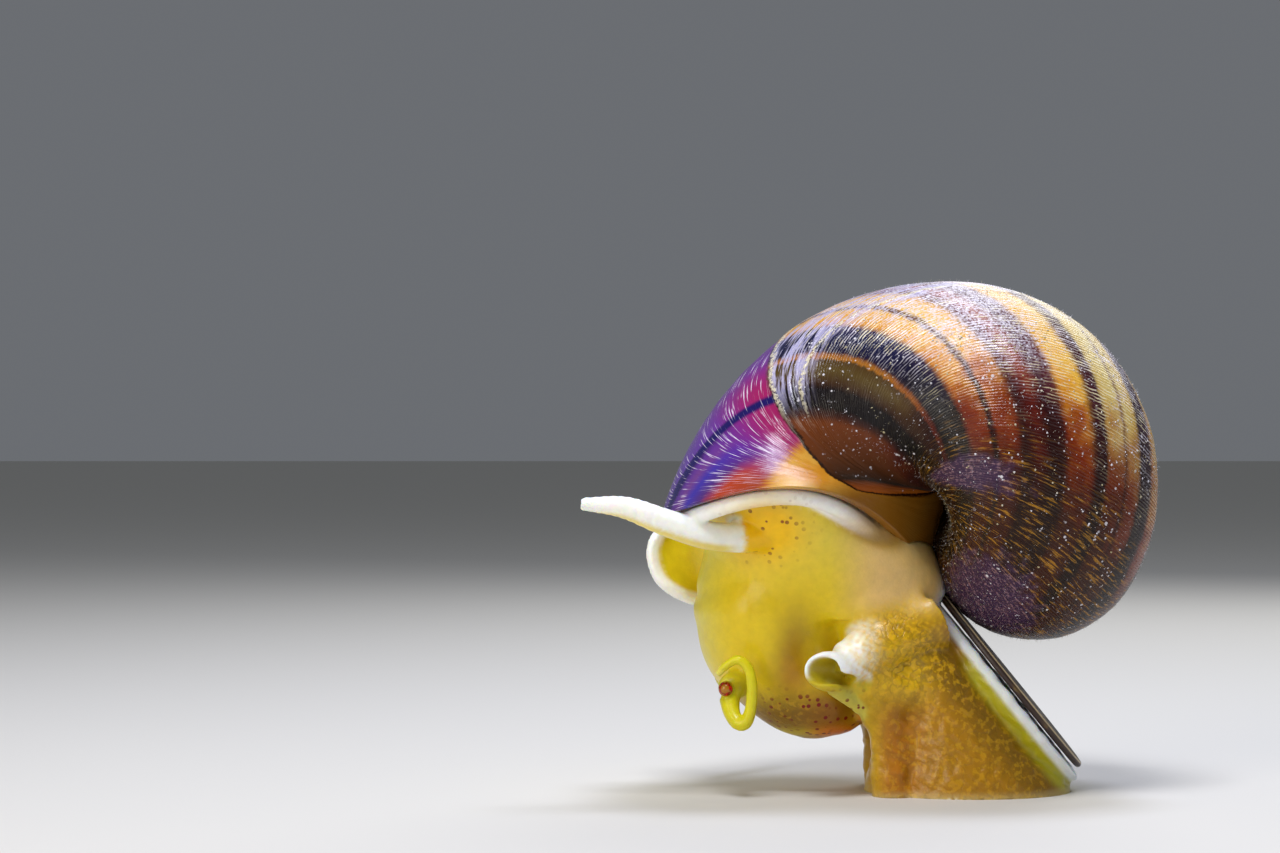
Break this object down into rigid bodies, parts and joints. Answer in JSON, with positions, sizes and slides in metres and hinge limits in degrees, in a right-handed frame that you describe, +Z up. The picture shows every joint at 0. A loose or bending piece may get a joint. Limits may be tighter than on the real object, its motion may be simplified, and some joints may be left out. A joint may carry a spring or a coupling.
{
  "type": "apple snail",
  "caption": "Freshwater apple snail in life pose: round banded coiled shell, pale soft body reared on the back of its foot, breathing siphon out, horny plate behind.",
  "frame": {"origin": "middle of the foot's footing, on the floor", "axes": "+Z up; -X towards the head and the raised siphon, +X towards the back of the foot and the body whorl; -Y the animal's left side, +Y its right with the spire"},
  "size_m": [0.0533, 0.0399, 0.0482],
  "materials": {
    "shell": "glossy horn-like skin over lime, spiral bands from straw to dark purple-brown, dusted with pale deposits",
    "operculum": "satin brown-olive horn with growth rings",
    "flesh": "wet translucent cream-yellow skin, mottled on the foot",
    "mantle_edge": "wet translucent white skin",
    "eye": "glossy amber with a dark red ring"
  },
  "bodies": {
    "root": {"shell": "shell", "operculum": "operculum", "mantle": "mantle_edge", "neck": "flesh", "head": "flesh", "snout": "flesh", "foot": "flesh", "foot_tail": "flesh", "opercular_lobe": "flesh", "siphon_1": "flesh", "siphon_2": "flesh", "nuchal_lobe_right": "flesh", "eye_left": "eye", "eye_right": "eye", "eye_stalk_left": "flesh", "eye_stalk_right": "flesh", "palp_left": "flesh", "palp_right": "flesh", "tentacle_left_1": "flesh", "tentacle_left_2": "flesh", "tentacle_left_3": "flesh", "tentacle_right_1": "flesh", "tentacle_right_2": "flesh", "tentacle_right_3": "flesh"}
  },
  "joints": []
}
